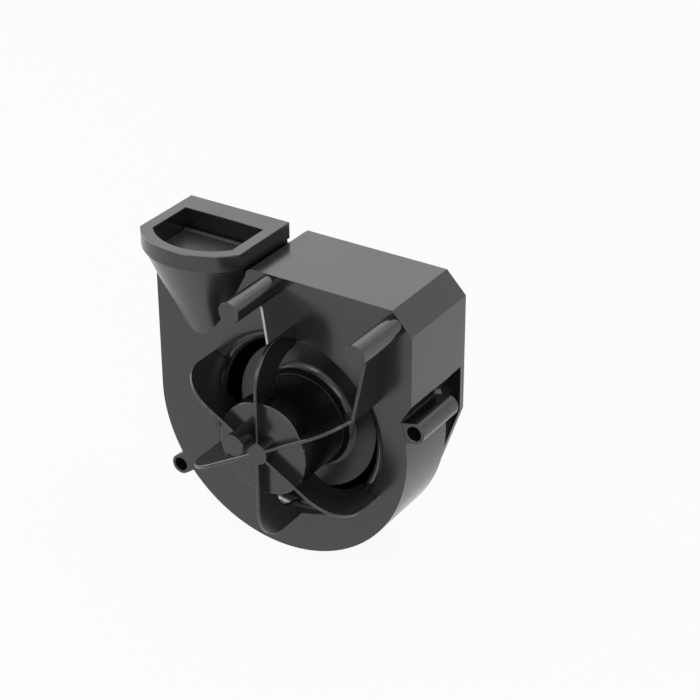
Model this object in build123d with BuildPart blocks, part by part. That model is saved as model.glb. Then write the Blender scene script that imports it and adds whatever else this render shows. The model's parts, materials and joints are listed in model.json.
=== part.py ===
from build123d import *
import math
import os

# A flush mounted centrifugal fan insert, in millimetres.
# X is to the right seen from the front, Y to the back, Z up.
# The origin is on the fan's axis, in the back face.
# Depths are measured forward from the back face, so a depth d lies at Y = -d.

# Casing outline, seen from the front
scroll_radius = 100.0
scroll_centre = (-11.3, -1.7)  # the fan's axis is off the centre of the round outline
frame_top = 101.3  # top of the casing under the outlet collar
box_left = -37.3
box_right = 91.7
box_top = 108.5
box_foot = 41.3  # lower end of the box's right side
box_join_angle = 17.7  # where the box's underside meets the round wall
box_chamfer_x = 14.7
box_chamfer_z = 15.4
box_nick_x = 4.2
box_nick_z = 3.2
web_foot = 7.8  # lower end of the back plate's straight right edge
web_tangent_angle = -19.0

# Casing depths and walls
casing_depth = 69.0
step_depth = 18.0  # the round wall is set in behind this depth
step_inset = 5.7
back_thickness = 5.0
front_thickness = 3.0
wall = 3.0
seal_thickness = 1.0
seal_width = 1.4
seal_inset = 0.8

# Screw tubes outside the round wall
tube_radius = 7.4
tube_recess_radius = 5.2
tube_bore_radius = 2.75
tube_back = 24.0
tube_floor = 5.0
tube_circle_radius = 108.0
tube_angles = (13.0, 216.0)

# Inlet lip
bell_radius = 71.0
throat_radius = 62.0
bell_depth = 9.0
bell_wall = 2.4
panel_start = 30.0  # sector between two ribs with a sharp edged inlet
panel_end = 90.0
panel_radius = 66.0

# Inlet guard
rib_angles = (30.0, 90.0, 150.0, 210.0, 270.0, 330.0)
rib_thickness = 2.4
rib_front = 114.0
rib_rear = 91.5
rib_straight = 45.0
rib_reach = 75.0
rib_shoulder = 88.0  # the front edge's curve ends in the outer edge
rib_rear_straight = 42.0
rib_rear_reach = 60.0
rib_rear_foot = 71.0
rib_seat_arc = 70.0
rib_can_gap = 0.3
guard_hub_radius = 8.0
seat_radius = 34.0
seat_thickness = 3.0
seat_front = 107.0
seat_cut_radius = 27.8  # the seat's edge slopes down in the sector of the sharp edged inlet
seat_cut_drop = 2.6
short_peg_x = -9.2
short_peg_z = 10.2
short_peg_front = 127.0

# Long pegs and the thin walls that reach them
peg_radius = 7.8
peg_front = 114.5
left_peg = (-18.4, 99.8)
right_peg = (77.1, 96.5)
fin_thickness = 2.4
fin_front = 98.0  # at the rib that the thin wall starts from
left_fin_end = (-16.8, 94.3)
left_fin_front = 81.0
right_fin_end = (71.2, 91.3)
right_fin_front = 88.0
fin_flare = 11.0

# Outlet
duct_x = -77.8
duct_depth = 43.5  # axis of the round part of the duct
flange_radius = 51.5
flange_half_width = 41.0
flange_back = 16.3
flange_top = 120.3
flange_thickness = 12.0
nozzle_inset = 1.2
nozzle_tip = 47.8
nozzle_wall = 2.5
opening_radius = 43.0
opening_half_width = 32.5
opening_back = 34.5
skirt_wall = 1.4
flap_drop = 15.0  # top of the flap under the collar's top
flap_thickness = 1.6
flap_gap = 0.6
lip_width = 2.0
lip_thickness = 1.6
lip_gap = 0.3
flap_pin_radius = 1.0
flap_pin_clearance = 0.05
barrel_radius = 2.2
barrel_gap = 0.5

# Motor
can_wall = 1.5
can_length = 42.0
end_plate_thickness = 2.0
stator_stack = 20.0
stator_front = 96.0
stator_yoke = 4.5
pole_count = 6
pole_width = 6.0
rotor_share = 0.48  # of the can's inner radius
pole_shoe = 2.5
pole_shoe_width = 12.0
coil_thickness = 3.5
coil_gap = 0.4
coil_overhang = 2.5
air_gap = 0.6
shaft_radius = 3.0
shaft_fit = 0.03
shaft_front = 102.0
shaft_back = 40.0
shaft_end = 1.0  # stands out of the nut
bearing_radius = 6.5
bearing_length = 6.0
bearing_wall = 1.6

# Impeller
wheel_gap = 1.2  # behind the motor's end plate
hub_wall = 2.0
hub_flare = 6.0
disc_front = 53.0
disc_radius = 55.0
wheel_radius = 78.0
wheel_ring_inner = 62.0
blade_root = 63.5
wheel_back = 24.0
wheel_front = 58.0
end_ring = 2.0
shroud_inner = 68.0
blade_count = 36
blade_thickness = 1.0
blade_tip = 77.2
blade_bow = 2.6
blade_lean = 3.5
sleeve_radius = 7.0
nut_radius = 6.0
nut_thickness = 4.0

# Scroll tongue
tongue_radius = 86.5
tongue_wall = 2.4
tongue_x = -38.8  # upright part, in line with the duct's side
tongue_nose = 3.0

# Electronics
board_thickness = 1.6
board_back = 16.0
board_left = -3.3
board_top = 96.8
board_right = 84.7
board_foot = 58.3
board_cut = 6.0
board_margin = 3.0  # to the tongue
board_post_radius = 3.0
board_posts = ((3.6, 92.6), (79.7, 89.3), (62.7, 72.3))
post_radius = 4.0
capacitor_x = 50.7
capacitor_z = 87.3
capacitor_radius = 7.0
capacitor_length = 30.0
relay_x = 72.7
relay_z = 76.3
relay_width = 15.0
relay_height = 19.0
relay_length = 16.0
part_edge = 1.0
socket_x = 20.7
socket_z = 96.8
socket_width = 26.0
socket_height = 11.0
socket_wall = 1.5
socket_corner = 1.0
socket_depth = 14.0
contact_count = 3
contact_pitch = 7.5
contact_width = 4.0
contact_thickness = 0.8
contact_recess = 5.0

# Screws
screw_radius = 1.5
screw_gap = 0.05
screw_head_radius = 3.0
screw_head_height = 1.8
screw_head_sink = 0.2
screw_length = 14.0
casing_screw_places = (
    (-99.3, 50.3), (-30.8, 101.8), (68.7, 101.8), (85.2, 50.3), (-68.3, -71.2), (45.7, -71.2)
)
motor_screw_radius = 1.1
motor_screw_head_radius = 2.2
motor_screw_head_height = 1.6
motor_screw_circle = 24.0
motor_screw_count = 3
motor_screw_length = 4.0

front_face = casing_depth
wall_front = casing_depth - front_thickness
flange_bottom = flange_top - flange_thickness
can_front = seat_front - seat_thickness
can_back = can_front - can_length

# Looks forward from the back face: local x is X and local y is Z.
back_face = Plane.XZ
# Half section through the fan's axis: local x is the radius and local y the depth.
fan_section = Plane(origin=(0, 0, 0), x_dir=(1, 0, 0), z_dir=(0, 0, -1))


def at_depth(depth):
    """Plane seen from the front at a depth forward of the back face."""
    return back_face.offset(depth)


def polar(radius, angle, centre=(0.0, 0.0)):
    """Point at a radius and an angle in degrees, round a centre."""
    turn = math.radians(angle)
    return (centre[0] + radius * math.cos(turn), centre[1] + radius * math.sin(turn))


def casing_outline(inset=0.0, round_inset=0.0, with_web=False):
    """Draws the closed outline of the casing, set in by a margin all round and one at the round wall."""
    radius = scroll_radius - inset - round_inset
    left = polar(radius, 180, scroll_centre)
    bottom = polar(radius, 270, scroll_centre)
    right = box_right - inset
    top = box_top - inset
    shoulder = frame_top - inset - round_inset
    slant = inset * (1 - math.tan(math.radians(22.5)))
    if with_web:
        join = polar(radius, web_tangent_angle, scroll_centre)
        foot = (right, web_foot)
    else:
        join = polar(radius, box_join_angle, scroll_centre)
        foot = (right, box_foot + inset / 2)
    Polyline(
        join,
        foot,
        (right, box_top - box_chamfer_z - slant / 2),
        (box_right - box_chamfer_x - slant / 2, top),
        (box_left + box_nick_x + slant, top),
        (box_left + inset, box_top - box_nick_z - slant / 2),
        (box_left + inset, shoulder),
        (left[0], shoulder),
        left,
    )
    ThreePointArc(left, bottom, join)


def duct_profile(radius, half_width, back):
    """Draws the duct's D shape on a level plane: round in front, straight behind."""
    with Locations((duct_x, -duct_depth)):
        Circle(radius)
    with Locations((duct_x, -back)):
        Rectangle(2 * half_width, 4 * radius, align=(Align.CENTER, Align.MAX), mode=Mode.INTERSECT)


nozzle_radius = flange_radius - nozzle_inset
nozzle_half_width = flange_half_width - nozzle_inset
nozzle_back = flange_back + nozzle_inset
tip_radius = casing_depth - duct_depth
cone_slope = (nozzle_radius - tip_radius) / (flange_bottom - nozzle_tip)
cone_foot = nozzle_tip - (tip_radius / 2) / cone_slope


def cone_radius(level, inset=0.0):
    """Radius of the duct's cone at a level."""
    return nozzle_radius - cone_slope * (flange_bottom - level) - inset


# Outer and inner shape of the duct, used to cut the walls it passes through

with BuildPart() as duct_outer:
    with BuildSketch(Plane.XY.offset(cone_foot)):
        with Locations((duct_x, -duct_depth)):
            Circle(cone_radius(cone_foot))
    with BuildSketch(Plane.XY.offset(flange_bottom)):
        with Locations((duct_x, -duct_depth)):
            Circle(nozzle_radius)
    loft()
    with BuildSketch(Plane.XY.offset(cone_foot)):
        with Locations((duct_x, -nozzle_back)):
            Rectangle(2 * nozzle_half_width, 4 * nozzle_radius, align=(Align.CENTER, Align.MAX))
    extrude(amount=flange_bottom - cone_foot, mode=Mode.INTERSECT)

with BuildPart() as duct_inner:
    with BuildSketch(Plane.XY.offset(cone_foot)):
        with Locations((duct_x, -duct_depth)):
            Circle(cone_radius(cone_foot, nozzle_wall))
    with BuildSketch(Plane.XY.offset(flange_bottom)):
        with Locations((duct_x, -duct_depth)):
            Circle(nozzle_radius - nozzle_wall)
    loft()
    with BuildSketch(Plane.XY.offset(cone_foot)):
        with Locations((duct_x, -nozzle_back - nozzle_wall)):
            Rectangle(
                2 * (nozzle_half_width - nozzle_wall), 4 * nozzle_radius, align=(Align.CENTER, Align.MAX)
            )
    extrude(amount=flange_bottom - cone_foot, mode=Mode.INTERSECT)

with BuildPart() as casing_envelope:
    with BuildSketch(back_face):
        with BuildLine():
            casing_outline(0.0, step_inset)
        make_face()
    extrude(amount=step_depth)
    with BuildSketch(at_depth(step_depth)):
        with BuildLine():
            casing_outline()
        make_face()
    extrude(amount=casing_depth - step_depth)

with BuildPart() as casing_room:
    with BuildSketch(at_depth(back_thickness)):
        with BuildLine():
            casing_outline(wall, step_inset)
        make_face()
    extrude(amount=step_depth + wall - back_thickness)
    with BuildSketch(at_depth(step_depth + wall)):
        with BuildLine():
            casing_outline(wall)
        make_face()
    extrude(amount=wall_front - step_depth - wall)


def radial_plane(angle):
    """Half plane through the fan's axis: local x is the radius and local y the depth."""
    turn = math.radians(angle)
    return Plane(
        origin=(0, 0, 0),
        x_dir=(math.cos(turn), 0, math.sin(turn)),
        z_dir=(math.sin(turn), 0, -math.cos(turn)),
    )


def bell_curve(radius_inset=0.0, depth_inset=0.0):
    """Draws the bell mouth's quarter ellipse, or its back at an even margin."""
    EllipticalCenterArc(
        (bell_radius, bell_floor),
        bell_radius - throat_radius - radius_inset,
        bell_depth - depth_inset,
        start_angle=90,
        arc_size=90,
    )


def fin_profile(height):
    """Draws a thin wall's cross section: upright stem on a foot with hollow flanks."""
    half = fin_thickness / 2
    foot = half + fin_flare
    bend = half + fin_flare * (1 - math.sqrt(0.5))
    rise = fin_flare * (1 - math.sqrt(0.5))
    sunk = -front_thickness / 2
    Polyline((foot, 0), (foot, sunk), (-foot, sunk), (-foot, 0))
    ThreePointArc((-foot, 0), (-bend, rise), (-half, fin_flare))
    Polyline((-half, fin_flare), (-half, height), (half, height), (half, fin_flare))
    ThreePointArc((half, fin_flare), (bend, rise), (foot, 0))


def fin_plane(place, start, end):
    """Plane across a thin wall at a place on it, from the front face up, with its height as local y."""
    along = (end[0] - start[0], 0, end[1] - start[1])
    across = Vector(0, -1, 0).cross(Vector(*along))
    return Plane(origin=(place[0], -front_face, place[1]), x_dir=across, z_dir=along)


# Front cover: front wall, inlet lip, long pegs and the thin walls that brace them

bell_floor = casing_depth - bell_depth
fins = (
    (polar(rib_reach, panel_end), left_fin_end, left_fin_front),
    (polar(rib_reach, panel_start), right_fin_end, right_fin_front),
)

with BuildPart() as front_cover:
    for start, end, front in fins:
        for place, height in ((start, fin_front - front_face), (end, front - front_face)):
            with BuildSketch(fin_plane(place, start, end)):
                with BuildLine():
                    fin_profile(height)
                make_face()
        loft(ruled=True)
    with BuildSketch(at_depth(wall_front)):
        with BuildLine():
            casing_outline()
        make_face()
    extrude(amount=front_thickness)
    with BuildSketch(at_depth(wall_front)):
        with Locations(left_peg, right_peg):
            Circle(peg_radius)
    extrude(amount=peg_front - wall_front)
    with BuildSketch(back_face):
        with BuildLine():
            casing_outline()
        make_face()
    extrude(amount=peg_front, mode=Mode.INTERSECT)
    with BuildSketch(at_depth(wall_front)):
        Circle(bell_radius)
    extrude(amount=fin_front, mode=Mode.SUBTRACT)
    with BuildSketch(radial_plane(panel_start)):
        with BuildLine():
            bell_curve()
            Line((throat_radius, bell_floor), (throat_radius + bell_wall, bell_floor))
            bell_curve(bell_wall, front_thickness)
            Line((bell_radius, wall_front), (bell_radius, front_face))
        make_face()
    revolve(axis=Axis.Y, revolution_arc=360 - (panel_end - panel_start))
    with BuildSketch(radial_plane(panel_end)):
        with Locations((panel_radius, wall_front)):
            Rectangle(bell_radius - panel_radius + bell_wall, front_thickness, align=(Align.MIN, Align.MIN))
    revolve(axis=Axis.Y, revolution_arc=panel_end - panel_start)
    add(duct_inner.part, mode=Mode.SUBTRACT)
front_cover.part.label = "front_cover"

# Volute frame: scroll wall, stepped in at the back, and box walls, with the screw tubes outside

with BuildPart() as volute_frame:
    with BuildSketch(at_depth(back_thickness)):
        with BuildLine():
            casing_outline(0.0, step_inset)
        make_face()
    extrude(amount=step_depth - back_thickness)
    with BuildSketch(at_depth(step_depth)):
        with BuildLine():
            casing_outline()
        make_face()
    extrude(amount=wall_front - step_depth)
    add(casing_room.part, mode=Mode.SUBTRACT)
    with BuildSketch(at_depth(back_thickness)):
        with Locations(*casing_screw_places):
            Circle(post_radius)
    extrude(amount=step_depth + wall - back_thickness)
    add(casing_envelope.part, mode=Mode.INTERSECT)
    with BuildSketch(at_depth(tube_back)):
        for angle in tube_angles:
            place = polar(tube_circle_radius, angle, scroll_centre)
            neck = tube_circle_radius - scroll_radius + wall
            with Locations(place):
                Circle(tube_radius)
            with Locations(Location(place, angle)):
                Rectangle(neck, 2 * tube_radius, align=(Align.MAX, Align.CENTER))
        with Locations(scroll_centre):
            Circle(scroll_radius, mode=Mode.SUBTRACT)
    extrude(amount=casing_depth - tube_back)
    for radius, back in ((tube_bore_radius, tube_back), (tube_recess_radius, tube_back + tube_floor)):
        with BuildSketch(at_depth(back)):
            for angle in tube_angles:
                with Locations(polar(tube_circle_radius, angle, scroll_centre)):
                    Circle(radius)
        extrude(amount=casing_depth - back, mode=Mode.SUBTRACT)
    with BuildSketch(at_depth(back_thickness)):
        with Locations(*casing_screw_places):
            Circle(screw_radius + screw_gap)
    extrude(amount=screw_length, mode=Mode.SUBTRACT)
    add(duct_inner.part, mode=Mode.SUBTRACT)
volute_frame.part.label = "volute_frame"

# Scroll tongue: upright beside the duct, then round the wheel to the scroll wall

with BuildPart() as scroll_tongue:
    nose = (tongue_x, math.sqrt(tongue_radius**2 - tongue_x**2))
    with BuildSketch(at_depth(back_thickness)):
        Circle(tongue_radius + tongue_wall / 2)
        Circle(tongue_radius - tongue_wall / 2, mode=Mode.SUBTRACT)
        with Locations((tongue_x, 0)):
            Rectangle(4 * tongue_radius, 2 * tongue_radius, align=(Align.MIN, Align.MIN), mode=Mode.INTERSECT)
        with Locations(nose):
            Circle(tongue_nose)
            Rectangle(tongue_wall, box_top - nose[1], align=(Align.CENTER, Align.MIN))
    extrude(amount=wall_front - back_thickness)
    add(casing_room.part, mode=Mode.INTERSECT)
scroll_tongue.part.label = "scroll_tongue"

# Back plate, with the web that squares off the corner at the right

with BuildPart() as casing_seal:
    with BuildSketch(at_depth(back_thickness - seal_thickness)):
        with BuildLine():
            casing_outline(seal_inset, step_inset)
        make_face()
        with BuildLine():
            casing_outline(seal_inset + seal_width, step_inset)
        make_face(mode=Mode.SUBTRACT)
    extrude(amount=seal_thickness)
casing_seal.part.label = "casing_seal"

with BuildPart() as back_plate:
    with BuildSketch(back_face):
        with BuildLine():
            casing_outline(0.0, step_inset, with_web=True)
        make_face()
    extrude(amount=back_thickness)
    with BuildSketch(at_depth(back_thickness)):
        with Locations(*board_posts):
            Circle(board_post_radius)
    extrude(amount=board_back - back_thickness)
    add(casing_seal.part, mode=Mode.SUBTRACT)
    with BuildSketch(back_face):
        with Locations(*casing_screw_places):
            Circle(screw_radius + screw_gap)
        with Locations((socket_x, socket_z)):
            RectangleRounded(socket_width, socket_height, socket_corner)
    extrude(amount=back_thickness, mode=Mode.SUBTRACT)
    with BuildSketch(back_face):
        with Locations(*casing_screw_places):
            Circle(screw_head_radius + screw_gap)
    extrude(amount=screw_head_sink + screw_head_height, mode=Mode.SUBTRACT)
back_plate.part.label = "back_plate"

with BuildPart() as casing_screws:
    with BuildSketch(at_depth(screw_head_sink)):
        with Locations(*casing_screw_places):
            Circle(screw_head_radius)
    extrude(amount=screw_head_height)
    with BuildSketch(at_depth(screw_head_sink + screw_head_height)):
        with Locations(*casing_screw_places):
            Circle(screw_radius)
    extrude(amount=screw_length - screw_head_height)
casing_screws.part.label = "casing_screws"

# Inlet guard: six ribs on the front face, the hub, the motor's seat and the short peg

with BuildPart() as inlet_guard:
    with BuildSketch(at_depth(can_front)):
        Circle(seat_radius)
    extrude(amount=seat_thickness)
    with BuildSketch(radial_plane((panel_start + panel_end) / 2)):
        with BuildLine():
            Polyline(
                (seat_cut_radius, seat_front),
                (seat_radius, seat_front - seat_cut_drop),
                (seat_radius, seat_front),
                close=True,
            )
        make_face()
    extrude(amount=seat_radius, both=True, mode=Mode.SUBTRACT)
    for angle in rib_angles:
        with BuildSketch(radial_plane(angle)):
            with BuildLine():
                seated = EllipticalCenterArc(
                    (bell_radius, bell_floor),
                    bell_radius - throat_radius - bell_wall / 2,
                    bell_depth - front_thickness / 2,
                    start_angle=90,
                    arc_size=rib_seat_arc,
                )
                Line(seated @ 1, (rib_rear_reach, rib_rear_foot))
                EllipticalCenterArc(
                    (rib_rear_straight, rib_rear_foot),
                    rib_rear_reach - rib_rear_straight,
                    rib_rear - rib_rear_foot,
                    start_angle=0,
                    arc_size=90,
                )
                Polyline(
                    (rib_rear_straight, rib_rear),
                    (seat_radius + rib_can_gap, rib_rear),
                    (seat_radius + rib_can_gap, can_front),
                    (0, can_front),
                    (0, rib_front),
                    (rib_straight, rib_front),
                )
                EllipticalCenterArc(
                    (rib_straight, rib_shoulder),
                    rib_reach - rib_straight,
                    rib_front - rib_shoulder,
                    start_angle=0,
                    arc_size=90,
                )
                Polyline((rib_reach, rib_shoulder), (rib_reach, (seated @ 0).Y), seated @ 0)
            make_face()
        extrude(amount=rib_thickness / 2, both=True)
    with BuildSketch(at_depth(can_front)):
        Circle(guard_hub_radius)
    extrude(amount=rib_front - can_front)
    with BuildSketch(at_depth(can_front)):
        with Locations((short_peg_x, short_peg_z)):
            Circle(peg_radius)
    extrude(amount=short_peg_front - can_front)
    with BuildSketch(back_face):
        with PolarLocations(motor_screw_circle, motor_screw_count, start_angle=60):
            Circle(motor_screw_radius + screw_gap)
    extrude(amount=can_front + motor_screw_length - can_wall, mode=Mode.SUBTRACT)
    add(front_cover.part, mode=Mode.SUBTRACT)
inlet_guard.part.label = "inlet_guard"

# Outlet nozzle: the part of the duct that stands outside the casing

with BuildPart() as outlet_nozzle:
    add(duct_outer.part)
    add(duct_inner.part, mode=Mode.SUBTRACT)
    add(casing_envelope.part, mode=Mode.SUBTRACT)
outlet_nozzle.part.label = "outlet_nozzle"

# Outlet collar: D shaped flange, with a skirt and a lip that seat the flap

flap_top = flange_top - flap_drop
flap_bottom = flap_top - flap_thickness
lip_top = flap_bottom - lip_gap
lip_bottom = lip_top - lip_thickness
hinge_depth = opening_back + barrel_gap + barrel_radius
hinge_level = flap_top - flap_thickness / 2
hinge_line = Plane(origin=(duct_x, -hinge_depth, hinge_level), x_dir=(0, 1, 0), z_dir=(1, 0, 0))

with BuildPart() as outlet_collar:
    with BuildSketch(Plane.XY.offset(flange_bottom)):
        duct_profile(flange_radius, flange_half_width, flange_back)
    extrude(amount=flange_thickness)
    with BuildSketch(Plane.XY.offset(lip_bottom)):
        duct_profile(
            opening_radius + skirt_wall, opening_half_width + skirt_wall, opening_back - skirt_wall
        )
    extrude(amount=flange_bottom - lip_bottom)
    with BuildSketch(Plane.XY.offset(lip_top)):
        duct_profile(opening_radius, opening_half_width, opening_back)
    extrude(amount=flange_top - lip_top, mode=Mode.SUBTRACT)
    with BuildSketch(Plane.XY.offset(lip_bottom)):
        duct_profile(opening_radius - lip_width, opening_half_width - lip_width, opening_back)
    extrude(amount=lip_thickness, mode=Mode.SUBTRACT)
    with BuildSketch(Plane.XY.offset(lip_bottom)):
        with Locations((duct_x, -opening_back)):
            Rectangle(
                2 * opening_half_width, 2 * (barrel_gap + barrel_radius), align=(Align.CENTER, Align.MAX)
            )
    extrude(amount=lip_thickness, mode=Mode.SUBTRACT)
    with BuildSketch(hinge_line):
        Circle(flap_pin_radius)
    extrude(amount=opening_half_width + skirt_wall, both=True, mode=Mode.SUBTRACT)
outlet_collar.part.label = "outlet_collar"

with BuildPart() as flap_pin:
    with BuildSketch(hinge_line):
        Circle(flap_pin_radius)
    extrude(amount=opening_half_width + skirt_wall, both=True)
flap_pin.part.label = "flap_pin"

with BuildPart() as backdraft_flap:
    with BuildSketch(Plane.XY.offset(flap_bottom)):
        duct_profile(opening_radius - flap_gap, opening_half_width - flap_gap, hinge_depth)
    extrude(amount=flap_thickness)
    with BuildSketch(hinge_line):
        Circle(barrel_radius)
    extrude(amount=opening_half_width - flap_gap, both=True)
    with BuildSketch(hinge_line):
        Circle(flap_pin_radius + flap_pin_clearance)
    extrude(amount=opening_half_width, both=True, mode=Mode.SUBTRACT)
backdraft_flap.part.label = "backdraft_flap"

# Motor can, seated against the guard's disc

can_inner = seat_radius - can_wall

with BuildPart() as motor_can:
    with BuildSketch(at_depth(can_back)):
        Circle(seat_radius)
    extrude(amount=can_length)
    with BuildSketch(at_depth(can_back)):
        Circle(can_inner)
    extrude(amount=can_length - can_wall, mode=Mode.SUBTRACT)
    with BuildSketch(at_depth(can_front - can_wall - bearing_length)):
        Circle(bearing_radius + bearing_wall)
        Circle(bearing_radius, mode=Mode.SUBTRACT)
    extrude(amount=bearing_length)
    with BuildSketch(back_face):
        with PolarLocations(motor_screw_circle, motor_screw_count, start_angle=60):
            Circle(motor_screw_radius + screw_gap)
    extrude(amount=can_front, mode=Mode.SUBTRACT)
motor_can.part.label = "motor_can"

with BuildPart() as motor_end_plate:
    with BuildSketch(at_depth(can_back)):
        Circle(can_inner)
    extrude(amount=end_plate_thickness)
    with BuildSketch(at_depth(can_back)):
        Circle(bearing_radius + bearing_wall)
    extrude(amount=bearing_length)
    with BuildSketch(at_depth(can_back)):
        Circle(bearing_radius)
    extrude(amount=bearing_length, mode=Mode.SUBTRACT)
motor_end_plate.part.label = "motor_end_plate"

with BuildPart() as front_bearing:
    with BuildSketch(at_depth(can_front - can_wall - bearing_length)):
        Circle(bearing_radius)
        Circle(shaft_radius + shaft_fit, mode=Mode.SUBTRACT)
    extrude(amount=bearing_length)
front_bearing.part.label = "front_bearing"

with BuildPart() as rear_bearing:
    with BuildSketch(at_depth(can_back)):
        Circle(bearing_radius)
        Circle(shaft_radius + shaft_fit, mode=Mode.SUBTRACT)
    extrude(amount=bearing_length)
rear_bearing.part.label = "rear_bearing"

with BuildPart() as motor_screws:
    with BuildSketch(at_depth(can_front - can_wall)):
        with PolarLocations(motor_screw_circle, motor_screw_count, start_angle=60):
            Circle(motor_screw_radius)
    extrude(amount=motor_screw_length)
    with BuildSketch(at_depth(can_front - can_wall - motor_screw_head_height)):
        with PolarLocations(motor_screw_circle, motor_screw_count, start_angle=60):
            Circle(motor_screw_head_radius)
    extrude(amount=motor_screw_head_height)
motor_screws.part.label = "motor_screws"

# Stator: a ring with inward poles, and a coil round each pole

yoke_inner = can_inner - stator_yoke
pole_bore = rotor_share * can_inner
stator_back = stator_front - stator_stack

with BuildPart() as stator_core:
    with BuildSketch(at_depth(stator_back)):
        Circle(can_inner)
        Circle(yoke_inner, mode=Mode.SUBTRACT)
        with PolarLocations(pole_bore, pole_count):
            Rectangle(yoke_inner - pole_bore + stator_yoke / 2, pole_width, align=(Align.MIN, Align.CENTER))
            Rectangle(pole_shoe, pole_shoe_width, align=(Align.MIN, Align.CENTER))
        Circle(pole_bore, mode=Mode.SUBTRACT)
    extrude(amount=stator_stack)
stator_core.part.label = "stator_core"

with BuildPart() as stator_windings:
    coil_root = pole_bore + pole_shoe + coil_gap
    coil_reach = yoke_inner - coil_gap - coil_root - coil_thickness / 2
    with BuildSketch(at_depth(stator_back - coil_overhang)):
        with PolarLocations(coil_root, pole_count):
            Rectangle(coil_reach, pole_width + 2 * coil_thickness, align=(Align.MIN, Align.CENTER))
    extrude(amount=stator_stack + 2 * coil_overhang)
    with BuildSketch(at_depth(stator_back)):
        with PolarLocations(pole_bore, pole_count):
            Rectangle(2 * coil_reach, pole_width, align=(Align.MIN, Align.CENTER))
    extrude(amount=stator_stack, mode=Mode.SUBTRACT)
stator_windings.part.label = "stator_windings"

# Turning parts: shaft, rotor, hub, blade ring and nut

with BuildPart() as motor_shaft:
    with BuildSketch(at_depth(shaft_back)):
        Circle(shaft_radius)
    extrude(amount=shaft_front - shaft_back)
motor_shaft.part.label = "motor_shaft"

with BuildPart() as rotor_core:
    with BuildSketch(at_depth(stator_back)):
        Circle(pole_bore - air_gap)
        Circle(shaft_radius, mode=Mode.SUBTRACT)
    extrude(amount=stator_stack)
rotor_core.part.label = "rotor_core"

hub_front = can_back - wheel_gap

with BuildPart() as impeller_hub:
    arc_bend = hub_flare * (1 - math.sqrt(0.5))
    back_radius = seat_radius - hub_wall
    disc_back = disc_front - hub_wall
    with BuildSketch(fan_section):
        with BuildLine():
            Polyline(
                (shaft_radius, hub_front),
                (seat_radius, hub_front),
                (seat_radius, disc_front + hub_flare),
            )
            ThreePointArc(
                (seat_radius, disc_front + hub_flare),
                (seat_radius + arc_bend, disc_front + arc_bend),
                (seat_radius + hub_flare, disc_front),
            )
            Polyline(
                (seat_radius + hub_flare, disc_front),
                (disc_radius, disc_front),
                (wheel_ring_inner, wheel_back + end_ring),
                (wheel_ring_inner, wheel_back),
                (wheel_ring_inner - hub_wall, wheel_back),
                (disc_radius - hub_wall, disc_back),
                (seat_radius, disc_back),
                (back_radius, disc_front),
                (back_radius, hub_front - hub_wall),
                (sleeve_radius, hub_front - hub_wall),
                (sleeve_radius, shaft_back + shaft_end + nut_thickness),
                (shaft_radius, shaft_back + shaft_end + nut_thickness),
                (shaft_radius, hub_front),
            )
        make_face()
    revolve(axis=Axis.Y)
impeller_hub.part.label = "impeller_hub"

with BuildSketch() as blade_section:
    with BuildLine():
        ThreePointArc(
            (blade_root, 0),
            ((blade_root + blade_tip) / 2, blade_bow - blade_lean / 2),
            (blade_tip, -blade_lean),
        )
    trace(line_width=blade_thickness)

with BuildPart() as impeller_blades:
    with BuildSketch(at_depth(wheel_back)):
        Circle(wheel_radius)
        Circle(wheel_ring_inner, mode=Mode.SUBTRACT)
    extrude(amount=end_ring)
    with BuildSketch(at_depth(wheel_back + end_ring)):
        with PolarLocations(0, blade_count):
            add(blade_section.sketch)
    extrude(amount=wheel_front - wheel_back - 2 * end_ring)
    with BuildSketch(at_depth(wheel_front - end_ring)):
        Circle(wheel_radius)
        Circle(shroud_inner, mode=Mode.SUBTRACT)
    extrude(amount=end_ring)
impeller_blades.part.label = "impeller_blades"

with BuildPart() as shaft_nut:
    with BuildSketch(at_depth(shaft_back + shaft_end)):
        RegularPolygon(nut_radius, 6)
        Circle(shaft_radius, mode=Mode.SUBTRACT)
    extrude(amount=nut_thickness)
shaft_nut.part.label = "shaft_nut"

# Electronics in the casing's upper right corner

with BuildPart() as circuit_board:
    with BuildSketch(at_depth(board_back)):
        with BuildLine():
            Polyline(
                (board_left, board_foot),
                (board_left, board_top),
                (board_right - board_cut, board_top),
                (board_right, board_top - board_cut),
                (board_right, board_foot),
                close=True,
            )
        make_face()
        Circle(tongue_radius + tongue_wall / 2 + board_margin, mode=Mode.SUBTRACT)
    extrude(amount=board_thickness)
circuit_board.part.label = "circuit_board"

board_front = board_back + board_thickness

with BuildPart() as run_capacitor:
    with BuildSketch(at_depth(board_front)):
        with Locations((capacitor_x, capacitor_z)):
            Circle(capacitor_radius)
    extrude(amount=capacitor_length)
    chamfer(run_capacitor.edges().filter_by(GeomType.CIRCLE), part_edge)
run_capacitor.part.label = "run_capacitor"

with BuildPart() as timer_relay:
    with BuildSketch(at_depth(board_front)):
        with Locations((relay_x, relay_z)):
            RectangleRounded(relay_width, relay_height, part_edge)
    extrude(amount=relay_length)
timer_relay.part.label = "timer_relay"

contact_places = GridLocations(contact_pitch, 0, contact_count, 1)

with BuildPart() as socket_contacts:
    with BuildSketch(at_depth(contact_recess)):
        with Locations((socket_x, socket_z)):
            with contact_places:
                Rectangle(contact_width, contact_thickness)
    extrude(amount=board_back - contact_recess)
socket_contacts.part.label = "socket_contacts"

with BuildPart() as socket_housing:
    with BuildSketch(back_face):
        with Locations((socket_x, socket_z)):
            RectangleRounded(socket_width, socket_height, socket_corner)
    extrude(amount=socket_depth)
    with BuildSketch(back_face):
        with Locations((socket_x, socket_z)):
            Rectangle(socket_width - 2 * socket_wall, socket_height - 2 * socket_wall)
    extrude(amount=socket_depth - socket_wall, mode=Mode.SUBTRACT)
    add(socket_contacts.part, mode=Mode.SUBTRACT)
socket_housing.part.label = "socket_housing"

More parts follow.
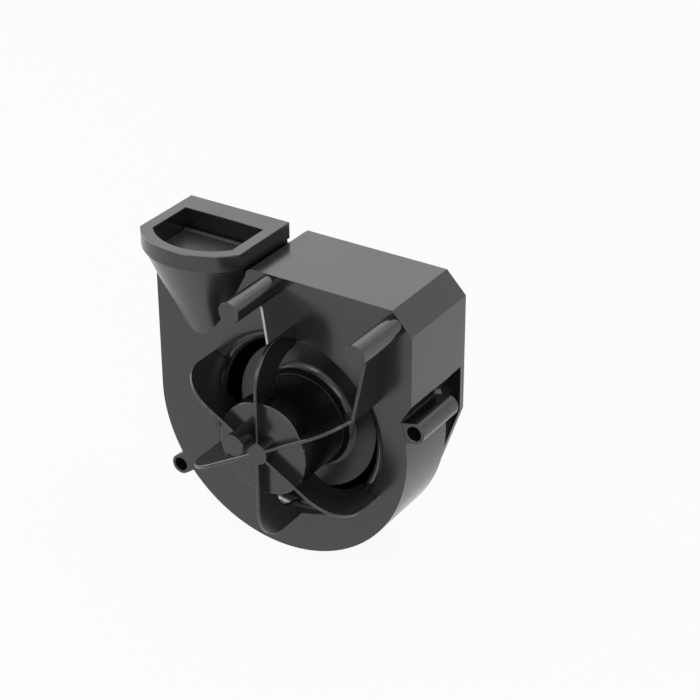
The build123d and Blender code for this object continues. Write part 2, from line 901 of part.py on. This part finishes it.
os.makedirs("parts", exist_ok=True)
pieces = (
    front_cover, volute_frame, scroll_tongue, back_plate, casing_seal, casing_screws,
    inlet_guard, outlet_nozzle, outlet_collar, flap_pin, backdraft_flap,
    motor_can, motor_end_plate, front_bearing, rear_bearing, motor_screws,
    stator_core, stator_windings, motor_shaft, rotor_core,
    impeller_hub, impeller_blades, shaft_nut,
    circuit_board, run_capacitor, timer_relay, socket_contacts, socket_housing,
)
for piece in pieces:
    export_step(piece.part, f"parts/{piece.part.label}.step")
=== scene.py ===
"""A flush centrifugal fan insert in black moulded plastic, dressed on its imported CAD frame.

Every length is in metres, in the frame's own axes: +X right seen from the front, +Y to the back,
+Z up. The rigid shapes come from the CAD nodes. This script rounds their moulded edges, frees the
thin walls of their flanks, adds the blades in the socket, gives every piece its material, and sets
the studio and the camera.
"""

import json
import logging
import math
from collections.abc import Callable
from dataclasses import dataclass
from enum import Enum
from typing import Any

import bmesh
import bpy
import numpy as np
from mathutils import Matrix, Vector

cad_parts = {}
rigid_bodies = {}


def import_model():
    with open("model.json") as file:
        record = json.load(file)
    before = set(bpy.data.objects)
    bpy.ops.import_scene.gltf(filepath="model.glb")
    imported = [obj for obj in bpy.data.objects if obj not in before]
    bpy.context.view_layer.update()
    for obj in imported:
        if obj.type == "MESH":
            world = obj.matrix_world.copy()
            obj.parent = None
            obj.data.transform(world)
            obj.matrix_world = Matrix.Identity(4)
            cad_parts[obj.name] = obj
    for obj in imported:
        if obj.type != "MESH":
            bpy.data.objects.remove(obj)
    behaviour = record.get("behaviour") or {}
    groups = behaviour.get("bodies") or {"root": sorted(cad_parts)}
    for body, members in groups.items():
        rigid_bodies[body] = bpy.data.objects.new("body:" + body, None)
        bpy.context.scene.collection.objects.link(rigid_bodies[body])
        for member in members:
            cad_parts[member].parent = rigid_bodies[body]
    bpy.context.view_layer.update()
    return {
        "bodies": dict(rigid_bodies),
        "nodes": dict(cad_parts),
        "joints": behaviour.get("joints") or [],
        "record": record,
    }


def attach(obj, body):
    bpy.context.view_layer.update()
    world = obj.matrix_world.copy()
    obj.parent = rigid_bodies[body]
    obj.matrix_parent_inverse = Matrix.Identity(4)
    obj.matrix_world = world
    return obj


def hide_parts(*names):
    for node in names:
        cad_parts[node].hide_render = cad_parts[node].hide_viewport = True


logging.basicConfig(level=logging.INFO, format="%(message)s")
log = logging.getLogger("fan_insert")

MM = 0.001
WAVE_RATE = 20.0  # the wave texture's own number of radians for one unit of place
FLOW_LOW, FLOW_HIGH = 0.3, 0.7  # the part of the noise's range that its values fill
WHITE = (1.0, 1.0, 1.0, 1.0)


def linear(colour: str) -> tuple[float, float, float, float]:
    """Turns an sRGB hex colour into the linear colour that shaders work in.

    Args:
        colour: six hex digits with a leading hash sign.

    Returns:
        Linear red, green and blue, with an alpha of one.
    """
    values = (int(colour[i:i + 2], 16) / 255 for i in (1, 3, 5))
    red, green, blue = (v / 12.92 if v <= 0.04045 else ((v + 0.055) / 1.055) ** 2.4 for v in values)
    return red, green, blue, 1.0


def add_node(
    tree: bpy.types.NodeTree, kind: str, links: dict[str | int, Any] | None = None, **settings: Any
) -> bpy.types.Node:
    """Adds a node, sets its own settings and its sockets, and links its inputs.

    Args:
        tree: the node tree that gets the node.
        kind: the node's Blender type name.
        links: for each input's name or number, the output socket or the value that it gets.
        settings: attributes of the node itself.

    Returns:
        The new node.
    """
    node = tree.nodes.new(kind)
    for key, value in settings.items():
        setattr(node, key, value)
    for key, value in (links or {}).items():
        if isinstance(value, bpy.types.NodeSocket):
            tree.links.new(value, node.inputs[key])
        else:
            node.inputs[key].default_value = value
    return node


def new_material(name: str) -> tuple[bpy.types.Material, bpy.types.NodeTree]:
    """Makes an empty node material.

    Args:
        name: the material's name.

    Returns:
        The material and its cleared node tree.
    """
    material = bpy.data.materials.new(name)
    material.use_nodes = True
    material.node_tree.nodes.clear()
    return material, material.node_tree


def add_object(name: str, data: Any) -> bpy.types.Object:
    """Adds an object to the scene, at the origin, unturned and unscaled.

    Args:
        name: the object's name.
        data: its mesh, lamp or camera.

    Returns:
        The new object.
    """
    thing = bpy.data.objects.new(name, data)
    bpy.context.scene.collection.objects.link(thing)
    return thing


class Brushing(Enum):
    """How a metal's surface was made."""

    PLATED = "plated"
    TURNED = "turned"
    STAMPED = "stamped"


@dataclass(frozen=True)
class MouldedPlastic:
    """Injection moulded thermoplastic with a fine spark-eroded grain.

    The grain breaks up the gloss a little; slow changes of flow show as faint changes of sheen.
    """

    name: str
    colour: str
    roughness: float = 0.34
    ior: float = 1.5
    grain: float = 0.7 * MM  # drawn coarser than the real 0.1 mm so that it shows
    grain_height: float = 0.012 * MM
    flow: float = 40 * MM
    tint_change: float = 0.07
    sheen_change: float = 0.05

    def material(self) -> bpy.types.Material:
        """Builds the material: tint, gloss and bump all read Object coordinates.

        Returns:
            The new material.
        """
        material, tree = new_material(self.name)
        place = add_node(tree, "ShaderNodeTexCoord").outputs["Object"]
        flow = add_node(tree, "ShaderNodeTexNoise", {
            "Vector": place, "Scale": 1 / self.flow, "Detail": 3.0})
        grain = add_node(tree, "ShaderNodeTexNoise", {
            "Vector": place, "Scale": 1 / self.grain, "Detail": 2.0})
        tint = add_node(tree, "ShaderNodeMapRange", {
            "Value": flow.outputs["Fac"], "From Min": FLOW_LOW, "From Max": FLOW_HIGH,
            "To Min": 1 - self.tint_change, "To Max": 1 + self.tint_change})
        colour = add_node(tree, "ShaderNodeVectorMath", {
            0: linear(self.colour)[:3], "Scale": tint.outputs["Result"]}, operation="SCALE")
        gloss = add_node(tree, "ShaderNodeMapRange", {
            "Value": flow.outputs["Fac"], "From Min": FLOW_LOW, "From Max": FLOW_HIGH,
            "To Min": self.roughness - self.sheen_change,
            "To Max": self.roughness + self.sheen_change})
        bump = add_node(tree, "ShaderNodeBump", {
            "Height": grain.outputs["Fac"], "Distance": self.grain_height, "Strength": 1.0})
        shader = add_node(tree, "ShaderNodeBsdfPrincipled", {
            "Base Color": colour.outputs["Vector"], "Roughness": gloss.outputs["Result"],
            "IOR": self.ior, "Normal": bump.outputs["Normal"]})
        add_node(tree, "ShaderNodeOutputMaterial", {"Surface": shader.outputs["BSDF"]})
        return material


@dataclass(frozen=True)
class MetalFinish:
    """A metal with the marks of how it was made: plated, turned or stamped."""

    name: str
    colour: str
    roughness: float
    brushing: Brushing
    spacing: float = 0.6 * MM
    mark_height: float = 0.01 * MM
    gloss_change: float = 0.06

    def material(self) -> bpy.types.Material:
        """Builds the material: turned metal has rings about Y, other metal a soft orange peel.

        Returns:
            The new material.
        """
        material, tree = new_material(self.name)
        place = add_node(tree, "ShaderNodeTexCoord").outputs["Object"]
        if self.brushing is Brushing.TURNED:
            marks = add_node(tree, "ShaderNodeTexWave", {
                "Vector": place, "Scale": 1 / self.spacing / WAVE_RATE, "Distortion": 1.5,
                "Detail": 2.0}, wave_type="RINGS", rings_direction="Y").outputs["Fac"]
        else:
            marks = add_node(tree, "ShaderNodeTexNoise", {
                "Vector": place, "Scale": 1 / self.spacing, "Detail": 2.0}).outputs["Fac"]
        gloss = add_node(tree, "ShaderNodeMapRange", {
            "Value": marks, "To Min": self.roughness - self.gloss_change,
            "To Max": self.roughness + self.gloss_change})
        bump = add_node(tree, "ShaderNodeBump", {"Height": marks, "Distance": self.mark_height})
        shader = add_node(tree, "ShaderNodeBsdfPrincipled", {
            "Base Color": linear(self.colour), "Metallic": 1.0,
            "Roughness": gloss.outputs["Result"], "Normal": bump.outputs["Normal"]})
        add_node(tree, "ShaderNodeOutputMaterial", {"Surface": shader.outputs["BSDF"]})
        return material


@dataclass(frozen=True)
class Laminations:
    """A stack of punched steel sheets: fine lines across the stack."""

    name: str
    colour: str
    edge_colour: str
    sheet: float = 0.8 * MM  # drawn coarser than the real 0.5 mm
    roughness: float = 0.45
    line_depth: float = 0.05 * MM

    def material(self) -> bpy.types.Material:
        """Builds the material with one dark line for each sheet, along Y.

        Returns:
            The new material.
        """
        material, tree = new_material(self.name)
        place = add_node(tree, "ShaderNodeTexCoord").outputs["Object"]
        lines = add_node(tree, "ShaderNodeTexWave", {
            "Vector": place, "Scale": 1 / self.sheet / WAVE_RATE, "Distortion": 0.0},
            wave_type="BANDS", bands_direction="Y").outputs["Fac"]
        colour = add_node(tree, "ShaderNodeMix", {
            0: lines, 6: linear(self.edge_colour), 7: linear(self.colour)}, data_type="RGBA")
        bump = add_node(tree, "ShaderNodeBump", {"Height": lines, "Distance": self.line_depth})
        shader = add_node(tree, "ShaderNodeBsdfPrincipled", {
            "Base Color": colour.outputs[2], "Metallic": 1.0, "Roughness": self.roughness,
            "Normal": bump.outputs["Normal"]})
        add_node(tree, "ShaderNodeOutputMaterial", {"Surface": shader.outputs["BSDF"]})
        return material


@dataclass(frozen=True)
class WoundWire:
    """Enamelled copper wire wound in close turns: narrow ridges along Y."""

    name: str
    colour: str
    wire: float = 0.7 * MM
    ridge: float = 0.3 * MM
    roughness: float = 0.3
    varnish: float = 0.5
    metallic: float = 0.7  # the enamel over the copper takes off some of the metal's look

    def material(self) -> bpy.types.Material:
        """Builds the material: one ridge for each turn, under a glossy varnish.

        Returns:
            The new material.
        """
        material, tree = new_material(self.name)
        place = add_node(tree, "ShaderNodeTexCoord").outputs["Object"]
        turns = add_node(tree, "ShaderNodeTexWave", {
            "Vector": place, "Scale": 1 / self.wire / WAVE_RATE, "Distortion": 0.4},
            wave_type="BANDS", bands_direction="DIAGONAL").outputs["Fac"]
        bump = add_node(tree, "ShaderNodeBump", {"Height": turns, "Distance": self.ridge})
        shader = add_node(tree, "ShaderNodeBsdfPrincipled", {
            "Base Color": linear(self.colour), "Metallic": self.metallic,
            "Roughness": self.roughness, "Coat Weight": self.varnish,
            "Normal": bump.outputs["Normal"]})
        add_node(tree, "ShaderNodeOutputMaterial", {"Surface": shader.outputs["BSDF"]})
        return material


# glossy ABS from a finely eroded mould: casing, cover, guard and inner walls
BLACK_ABS = MouldedPlastic("black_ABS_spark_eroded", "#151516", roughness=0.22, ior=1.66)
# the same ABS, a little duller: outlet nozzle and collar
COLLAR_ABS = MouldedPlastic("black_ABS_collar", "#151516", roughness=0.24, ior=1.66)
# matt, slightly greyer polypropylene: the light flap
FLAP_POLYPROPYLENE = MouldedPlastic("dark_polypropylene_flap", "#2e2f30", roughness=0.36)
# polypropylene moulding of the hub and the blades
WHEEL_POLYPROPYLENE = MouldedPlastic("black_polypropylene_wheel", "#0e0e0f", roughness=0.26)
# baked enamel on the deep drawn steel can and its end plate; its colour is set darker than the
# casing's as painted shade, standing in for the shade deep inside the inlet
CAN_ENAMEL_AND_SHADE = MouldedPlastic(
    "black_enamel_darkened_as_inlet_shade", "#0c0c0d", roughness=0.24, grain_height=0.006 * MM)
# filled PBT case of the relay
RELAY_PLASTIC = MouldedPlastic("blue_black_PBT_relay_case", "#1d2740", roughness=0.25)
# flame resistant polypropylene case of the capacitor
CAPACITOR_PLASTIC = MouldedPlastic(
    "ivory_polypropylene_capacitor_case", "#cfcdc2", roughness=0.35)
# glass cloth and epoxy under green solder mask
BOARD_LAMINATE = MouldedPlastic(
    "green_epoxy_glass_laminate", "#1f5a35", roughness=0.3, grain=1.0 * MM)
# extruded EPDM, matt
SEAL_RUBBER = MouldedPlastic("black_EPDM_seal", "#1b1b1b", roughness=0.7)
# bright zinc plating on screws, nut and pin
ZINC_PLATE = MetalFinish("zinc_plated_steel", "#b9bcc0", 0.34, Brushing.PLATED)
# ground and polished bar
SHAFT_STEEL = MetalFinish("ground_steel_shaft", "#c4c6c9", 0.22, Brushing.TURNED)
# pressed and sintered bronze, soaked in oil
BRONZE = MetalFinish("sintered_bronze_bush", "#b98d4e", 0.42, Brushing.STAMPED)
# brass strip, punched and tinned
TINNED_BRASS = MetalFinish("tinned_brass_blade", "#d6d3c8", 0.28, Brushing.STAMPED)
# electrical steel, punched and stacked
CORE_SHEETS = Laminations("punched_steel_sheets", "#7d8084", "#2d2e30")
# varnished copper wire, wound
COPPER_WIRE = WoundWire("enamelled_copper_wire", "#b4552a")

NODE_FINISH = {
    "front_cover": BLACK_ABS, "volute_frame": BLACK_ABS, "back_plate": BLACK_ABS,
    "scroll_tongue": BLACK_ABS, "inlet_guard": BLACK_ABS, "socket_housing": BLACK_ABS,
    "outlet_nozzle": COLLAR_ABS, "outlet_collar": COLLAR_ABS,
    "backdraft_flap": FLAP_POLYPROPYLENE,
    "impeller_hub": WHEEL_POLYPROPYLENE, "impeller_blades": WHEEL_POLYPROPYLENE,
    "motor_can": CAN_ENAMEL_AND_SHADE, "motor_end_plate": CAN_ENAMEL_AND_SHADE,
    "timer_relay": RELAY_PLASTIC, "run_capacitor": CAPACITOR_PLASTIC,
    "circuit_board": BOARD_LAMINATE, "casing_seal": SEAL_RUBBER,
    "casing_screws": ZINC_PLATE, "motor_screws": ZINC_PLATE, "flap_pin": ZINC_PLATE,
    "shaft_nut": ZINC_PLATE, "motor_shaft": SHAFT_STEEL,
    "front_bearing": BRONZE, "rear_bearing": BRONZE, "socket_contacts": TINNED_BRASS,
    "rotor_core": CORE_SHEETS, "stator_core": CORE_SHEETS, "stator_windings": COPPER_WIRE,
}


class Dresser:
    """Gives each CAD node its material, and makes each material once."""

    def __init__(self, frame: dict[str, Any]) -> None:
        """Keeps the frame's nodes and what the record says of them.
        """
        self.nodes: dict[str, bpy.types.Object] = frame["nodes"]
        self.slots = {p["node"]: p["material_slot"] for p in frame["record"]["subparts"]}
        bodies = frame["record"]["behaviour"]["bodies"]
        self.bodies = {node: body for body, nodes in bodies.items() for node in nodes}
        self.made: dict[str, bpy.types.Material] = {}

    def material(self, finish: Any) -> bpy.types.Material:
        """Makes a finish's material at its first use.

        Args:
            finish: one of the finishes above.

        Returns:
            The finish's one material.
        """
        if finish.name not in self.made:
            self.made[finish.name] = finish.material()
        return self.made[finish.name]

    def paint(self, piece: bpy.types.Object, finish: Any) -> None:
        """Puts one material on every slot of a piece.

        Args:
            piece: what is painted.
            finish: what it is made of.
        """
        material = self.material(finish)
        if not piece.material_slots:
            piece.data.materials.append(material)
        for slot in piece.material_slots:
            slot.material = material

    def place(self, piece: bpy.types.Object, node: str, finish: Any) -> bpy.types.Object:
        """Lets a piece stand for a CAD node: its body and its finish.

        Args:
            piece: the new piece.
            node: the CAD node that it replaces.
            finish: what it is made of.

        Returns:
            The same piece.
        """
        self.paint(piece, finish)
        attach(piece, self.bodies[node])
        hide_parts(node)
        log.info("%s replaces %s", piece.name, node)
        return piece


@dataclass
class RoundedEdges:
    """Copies CAD nodes with the small rounding that a mould leaves on every sharp edge.

    Triangles that lie in one plane are joined first, so that only real edges are rounded, and the
    joined faces are cut up again, because a rounding pulls at the corners of a face with holes.
    """

    dresser: Dresser
    segments: int = 3
    sharp_angle: float = math.radians(24)
    flat_angle: float = math.radians(0.4)
    merge: float = 0.002 * MM
    weld: float = 0.001 * MM  # closes the corners where roundings meet in one point
    largest_face: int = 4  # a face with more corners is cut into triangles
    room: float = 1.7  # an edge is rounded where both its faces are this many roundings wide
    partings: tuple[float, ...] = (-66 * MM, -5 * MM)  # where wall and casing meet without a groove

    @staticmethod
    def face_width(face: bmesh.types.BMFace) -> float:
        """Measures a face across: its area over its longest edge, exact where it is a strip.

        Args:
            face: the face.

        Returns:
            Its width.
        """
        return face.calc_area() / max(edge.calc_length() for edge in face.edges)

    def parted(self, edge: bmesh.types.BMEdge) -> bool:
        """Says whether an edge lies in a parting plane, where it stays sharp.

        Args:
            edge: the edge.

        Returns:
            True where both its ends are in one parting plane.
        """
        return any(all(abs(v.co.y - y) < self.merge for v in edge.verts) for y in self.partings)

    def mark(self, form: bmesh.types.BMesh, width: float) -> None:
        """Marks the sharp edges, and gives those that get a rounding their weight.

        Args:
            form: the mesh, with its flat faces joined.
            width: the rounding's width.
        """
        weight = form.edges.layers.float.new("bevel_weight_edge")
        widths = {face: self.face_width(face) for face in form.faces}
        for face in form.faces:
            face.smooth = True
        for edge in form.edges:
            turn = edge.calc_face_angle(0.0) if edge.is_manifold else 0.0
            edge.smooth = turn <= self.sharp_angle
            narrowest = min((widths[face] for face in edge.link_faces), default=0.0)
            wide = narrowest > self.room * width
            if wide and not edge.smooth and edge.is_convex and not self.parted(edge):
                edge[weight] = 1.0

    def copy(
        self, node: str, width: float, reshape: Callable[[bmesh.types.BMesh], None] | None = None
    ) -> bpy.types.Object:
        """Makes the rounded copy of one node and lets it stand for the node.

        Args:
            node: the CAD node's name.
            width: the rounding's width.
            reshape: what changes the copy's form first, where it needs that.

        Returns:
            The new piece.
        """
        mesh = bpy.data.meshes.new(node + "_moulded")
        form = bmesh.new()
        form.from_mesh(self.dresser.nodes[node].data)
        bmesh.ops.remove_doubles(form, verts=form.verts, dist=self.merge)
        if reshape:
            reshape(form)
        bmesh.ops.dissolve_limit(
            form, angle_limit=self.flat_angle, verts=form.verts, edges=form.edges,
            use_dissolve_boundaries=False)
        self.mark(form, width)
        large = [face for face in form.faces if len(face.verts) > self.largest_face]
        bmesh.ops.triangulate(form, faces=large)
        form.to_mesh(mesh)
        form.free()
        piece = add_object(mesh.name, mesh)
        bevel = piece.modifiers.new("moulded_edge", "BEVEL")
        bevel.width = width
        bevel.segments = self.segments
        bevel.limit_method = "WEIGHT"
        bevel.use_clamp_overlap = False
        bevel.miter_outer = "MITER_ARC"
        weld = piece.modifiers.new("closed_corners", "WELD")
        weld.merge_threshold = self.weld
        normals = piece.modifiers.new("flat_walls", "WEIGHTED_NORMAL")
        normals.keep_sharp = True
        return self.dresser.place(piece, node, NODE_FINISH[node])


@dataclass(frozen=True)
class ThinWall:
    """A thin wall in front of the cover, from a rib to a peg; all its places are (x, z)."""

    start: tuple[float, float]
    end: tuple[float, float]
    peg: tuple[float, float]


@dataclass(frozen=True)
class WallFlanks:
    """Takes the hollow flanks off the foot of the thin walls, which stand straight.

    The cutter beside a wall is a strip from before its start to past its end, kept off the peg: its
    far border follows the peg's circle wherever the circle is nearer than the strip's end.
    """

    walls: tuple[ThinWall, ...]
    face: float = -69 * MM  # the cover's front face, on the Y axis
    half: float = 1.2 * MM  # half of a wall's thickness
    reach: float = 12.7 * MM  # from a wall's middle to past the edge of its flank
    height: float = 12 * MM  # past the top of the flanks
    peg_radius: float = 7.8 * MM
    gap: float = 0.02 * MM  # between the cutter and what stays
    past: float = 0.5 * MM  # how far a strip goes on at either end
    steps: int = 48

    def outline(self, wall: ThinWall, side: int) -> np.ndarray:
        """Draws the strip on one side of a wall.

        With a the place along the wall and s the place across it, the far border is the nearer of
        the strip's end and a = peg_a - sqrt(radius^2 - (s - peg_s)^2).

        Args:
            wall: the wall.
            side: 1 for its right side seen along it, -1 for its left.

        Returns:
            The outline's places (x, z), one row for each.
        """
        start = np.array(wall.start)
        run = np.array(wall.end) - start
        length = float(np.hypot(*run))
        along = run / length
        across = side * np.array([along[1], -along[0]])
        peg = np.array(wall.peg) - start
        lateral = np.linspace(self.half + self.gap, self.reach, self.steps)
        depth = (self.peg_radius + self.gap) ** 2 - (lateral - peg @ across) ** 2
        border = np.minimum(length + self.past, peg @ along - np.sqrt(np.maximum(depth, 0.0)))
        border = np.where(depth > 0, border, length + self.past)
        strip = np.concatenate([
            np.column_stack([np.full(self.steps, -self.past), lateral]),
            np.column_stack([border, lateral])[::-1],
        ])
        return start + strip[:, :1] * along + strip[:, 1:] * across

    def cutter(self) -> bpy.types.Mesh:
        """Makes the strips' prisms, from just before the cover's face forwards.

        Returns:
            One mesh with all of them.
        """
        form = bmesh.new()
        for wall in self.walls:
            for side in (-1, 1):
                places = self.outline(wall, side)
                foot = [form.verts.new((x, self.face - self.gap, z)) for x, z in places]
                top = [form.verts.new((x, self.face - self.height, z)) for x, z in places]
                form.faces.new(foot)
                form.faces.new(top)
                for corners in zip(foot, foot[1:] + foot[:1], top[1:] + top[:1], top):
                    form.faces.new(corners)
        bmesh.ops.recalc_face_normals(form, faces=form.faces)
        mesh = bpy.data.meshes.new("wall_flanks")
        form.to_mesh(mesh)
        form.free()
        return mesh

    def cut(self, form: bmesh.types.BMesh) -> None:
        """Cuts the strips out of a cover's mesh.

        Args:
            form: the mesh, which is changed in place.
        """
        mesh = bpy.data.meshes.new("cover")
        form.to_mesh(mesh)
        cover = add_object("cover", mesh)
        tool = add_object("wall_flanks", self.cutter())
        boolean = cover.modifiers.new("flanks", "BOOLEAN")
        boolean.operation = "DIFFERENCE"
        boolean.solver = "EXACT"
        boolean.object = tool
        done = cover.evaluated_get(bpy.context.evaluated_depsgraph_get())
        form.clear()
        form.from_mesh(done.to_mesh())
        done.to_mesh_clear()
        for thing in (cover, tool):
            bpy.data.meshes.remove(thing.data)


@dataclass(frozen=True)
class SocketBlades:
    """The three flat contacts in the socket, with a lead-in at their tips.

    Each blade is one rectangle carried from the board to the tip, drawn in over the lead-in.
    """

    centre: tuple[float, float] = (20.7 * MM, 96.8 * MM)
    pitch: float = 7.5 * MM
    count: int = 3
    width: float = 4.0 * MM
    thickness: float = 0.8 * MM
    board: float = 16 * MM  # depth of the circuit board's back, from the casing's back face
    tip: float = 5 * MM  # depth of the tips
    lead_in: float = 1.5 * MM
    narrowing: float = 0.45

    def build(self, dresser: Dresser) -> bpy.types.Object:
        """Makes the blades and lets them ride on the casing.

        A blade has three rings of four corners: at the board, at the lead-in and at the tip. A
        corner of a ring is the blade's middle plus the full corner times the ring's share.

        Args:
            dresser: what paints them.

        Returns:
            The new piece.
        """
        depths = np.array([self.board, self.tip + self.lead_in, self.tip])
        shares = np.array([1.0, 1.0, self.narrowing])
        half = np.array([self.width / 2, self.thickness / 2])
        corners = np.array([[-1, -1], [1, -1], [1, 1], [-1, 1]]) * half
        order = np.arange(self.count)
        middles = (order - (self.count - 1) / 2) * self.pitch + self.centre[0]
        points = np.empty((self.count, len(depths), len(corners), 3))
        points[..., 0] = middles[:, None, None] + corners[:, 0] * shares[:, None]
        points[..., 1] = -depths[:, None]
        points[..., 2] = self.centre[1] + corners[:, 1] * shares[:, None]
        ring = np.arange(len(depths) * len(corners)).reshape(len(depths), len(corners))
        turned = np.roll(ring, -1, axis=1)
        walls = np.stack([ring[:-1], turned[:-1], turned[1:], ring[1:]], axis=-1).reshape(-1, 4)
        blade = np.concatenate([walls, ring[:1, ::-1], ring[-1:]])
        faces = blade + order[:, None, None] * ring.size
        mesh = bpy.data.meshes.new("socket_blades")
        mesh.from_pydata(points.reshape(-1, 3).tolist(), [], faces.reshape(-1, 4).tolist())
        form = bmesh.new()
        form.from_mesh(mesh)
        bmesh.ops.recalc_face_normals(form, faces=form.faces)
        form.to_mesh(mesh)
        form.free()
        piece = add_object(mesh.name, mesh)
        dresser.paint(piece, TINNED_BRASS)
        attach(piece, dresser.bodies["socket_housing"])
        log.info("%s added in the socket", piece.name)
        return piece


@dataclass(frozen=True)
class Lamp:
    """An area lamp aimed at the object."""

    name: str
    place: tuple[float, float, float]
    size: tuple[float, float]
    power: float

    def build(self, target: Vector) -> bpy.types.Object:
        """Adds the lamp, turned towards the target.

        Args:
            target: the place that it is aimed at.

        Returns:
            The new lamp.
        """
        light = bpy.data.lights.new(self.name, "AREA")
        light.shape = "RECTANGLE"
        light.size, light.size_y = self.size
        light.energy = self.power
        lamp = add_object(self.name, light)
        lamp.location = self.place
        lamp.rotation_euler = (target - Vector(self.place)).to_track_quat("-Z", "Y").to_euler()
        return lamp


@dataclass
class Studio:
    """The white surroundings, the lamps and the camera at the photograph's angle.

    The camera's values were solved from the photograph. Its unit is the scroll's radius, and its
    origin is the centre of the scroll in the front face.
    """

    azimuth: float = 32.697
    elevation: float = 29.126
    roll: float = -0.273
    distance: float = 14.098
    offset_right: float = -0.4712
    offset_up: float = 0.4858
    focal_pixels: float = 2077.143
    picture_width: int = 700
    unit: float = 0.1
    origin: tuple[float, float, float] = (-0.0113, -0.069, -0.0017)
    sensor: float = 36.0
    view_end: float = 50.0
    floor_level: float = -0.1022
    floor_size: float = 12.0
    floor_glow: float = 0.93  # the share of pure white in the floor where it is seen
    white: float = 1.0
    ambient: float = 0.4
    target: tuple[float, float, float] = (0.0, -0.05, 0.02)

    def camera(self) -> bpy.types.Object:
        """Adds the camera.

        Its back axis points from the object to the camera at the azimuth and elevation; right and
        up are square to it, turned by the roll.

        Returns:
            The new camera.
        """
        azimuth, elevation, roll = np.radians([self.azimuth, self.elevation, self.roll])
        back = np.array([
            np.sin(azimuth) * np.cos(elevation), -np.cos(azimuth) * np.cos(elevation),
            np.sin(elevation)])
        level = np.array([np.cos(azimuth), np.sin(azimuth), 0.0])
        upright = np.cross(back, level)
        right = level * np.cos(roll) + upright * np.sin(roll)
        up = upright * np.cos(roll) - level * np.sin(roll)
        place = back * self.distance - right * self.offset_right + up * self.offset_up
        data = bpy.data.cameras.new("camera")
        data.sensor_width = self.sensor
        data.lens = self.focal_pixels * self.sensor / self.picture_width
        data.clip_end = self.view_end
        camera = add_object("camera", data)
        pose = Matrix(np.column_stack([right, up, back]).tolist()).to_4x4()
        pose.translation = Vector(place) * self.unit + Vector(self.origin)
        camera.matrix_world = pose
        bpy.context.scene.camera = camera
        return camera

    def shown_rays(self, tree: bpy.types.NodeTree) -> bpy.types.NodeSocket:
        """Adds a value that is one for rays that show what they meet, and nought for the rest.

        Args:
            tree: the node tree that gets it.

        Returns:
            The value's socket: one for camera, glossy and transmission rays.
        """
        path = add_node(tree, "ShaderNodeLightPath")
        first = add_node(tree, "ShaderNodeMath", {
            0: path.outputs["Is Camera Ray"], 1: path.outputs["Is Glossy Ray"]},
            operation="MAXIMUM")
        both = add_node(tree, "ShaderNodeMath", {
            0: first.outputs[0], 1: path.outputs["Is Transmission Ray"]}, operation="MAXIMUM")
        return both.outputs[0]

    def world(self) -> None:
        """Makes the world white where it is seen or mirrored, and dimmer as a light."""
        world = bpy.data.worlds.new("white_room")
        world.use_nodes = True
        tree = world.node_tree
        tree.nodes.clear()
        strength = add_node(tree, "ShaderNodeMapRange", {
            "Value": self.shown_rays(tree), "To Min": self.ambient, "To Max": self.white})
        light = add_node(tree, "ShaderNodeBackground", {
            "Color": WHITE, "Strength": strength.outputs["Result"]})
        add_node(tree, "ShaderNodeOutputWorld", {"Surface": light.outputs["Background"]})
        bpy.context.scene.world = world

    def floor(self) -> bpy.types.Object:
        """Adds the pale floor: it shows white, and keeps a share of its own shading for the shadow.

        Returns:
            The floor.
        """
        half = self.floor_size / 2
        mesh = bpy.data.meshes.new("floor")
        places = ((-half, -half), (half, -half), (half, half), (-half, half))
        mesh.from_pydata([(x, y, self.floor_level) for x, y in places], [], [(0, 1, 2, 3)])
        floor = add_object("floor", mesh)
        material, tree = new_material("white_paper_floor")
        matt = add_node(tree, "ShaderNodeBsdfDiffuse", {"Color": linear("#e6e6e6")})
        glow = add_node(tree, "ShaderNodeEmission", {"Color": WHITE, "Strength": self.white})
        share = add_node(tree, "ShaderNodeMath", {
            0: self.shown_rays(tree), 1: self.floor_glow}, operation="MULTIPLY")
        both = add_node(tree, "ShaderNodeMixShader", {
            0: share.outputs[0], 1: matt.outputs[0], 2: glow.outputs[0]})
        add_node(tree, "ShaderNodeOutputMaterial", {"Surface": both.outputs[0]})
        mesh.materials.append(material)
        return floor

    def lamps(self) -> None:
        """Adds the lamps: one above, one behind, two before it and one on either side."""
        for lamp in (
            Lamp("top_softbox", (0.0, 0.75, 1.5), (1.2, 1.2), 3.0),
            Lamp("back_softbox", (-0.9, 1.2, 1.2), (1.0, 1.0), 2.2),
            Lamp("front_softbox", (0.9, -1.15, 0.75), (0.8, 0.8), 8.0),
            Lamp("upper_softbox", (-0.42, -1.45, 0.48), (0.4, 0.4), 5.0),
            Lamp("left_softbox", (-1.5, -0.3, 0.3), (1.0, 1.0), 12.0),
            Lamp("right_softbox", (1.7, 0.4, 0.25), (1.4, 0.6), 9.0),
        ):
            lamp.build(Vector(self.target))

    def build(self) -> None:
        """Sets up everything round the object."""
        scene = bpy.context.scene
        scene.view_settings.view_transform = "Standard"
        self.world()
        self.floor()
        self.lamps()
        self.camera()


# the width of each moulded copy's roundings
ROUNDED_NODES = {
    "front_cover": 0.2 * MM, "volute_frame": 0.3 * MM, "back_plate": 0.3 * MM,
    "inlet_guard": 0.6 * MM, "outlet_collar": 0.4 * MM, "backdraft_flap": 0.3 * MM,
    "impeller_hub": 0.4 * MM,
}

THIN_WALLS = WallFlanks((
    ThinWall((0.0, 75 * MM), (-16.8 * MM, 94.3 * MM), peg=(-18.4 * MM, 99.8 * MM)),
    ThinWall((64.95 * MM, 37.5 * MM), (71.2 * MM, 91.3 * MM), peg=(77.1 * MM, 96.5 * MM)),
))


def main() -> None:
    """Builds the scene on the frame."""
    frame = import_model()
    dresser = Dresser(frame)
    rounding = RoundedEdges(dresser)
    for node, width in ROUNDED_NODES.items():
        rounding.copy(node, width, THIN_WALLS.cut if node == "front_cover" else None)
    SocketBlades().build(dresser)
    for node, piece in dresser.nodes.items():
        if node not in ROUNDED_NODES:
            dresser.paint(piece, NODE_FINISH[node])
            log.info("%s dressed in %s", node, NODE_FINISH[node].name)
    Studio().build()


if __name__ == "__main__":
    main()
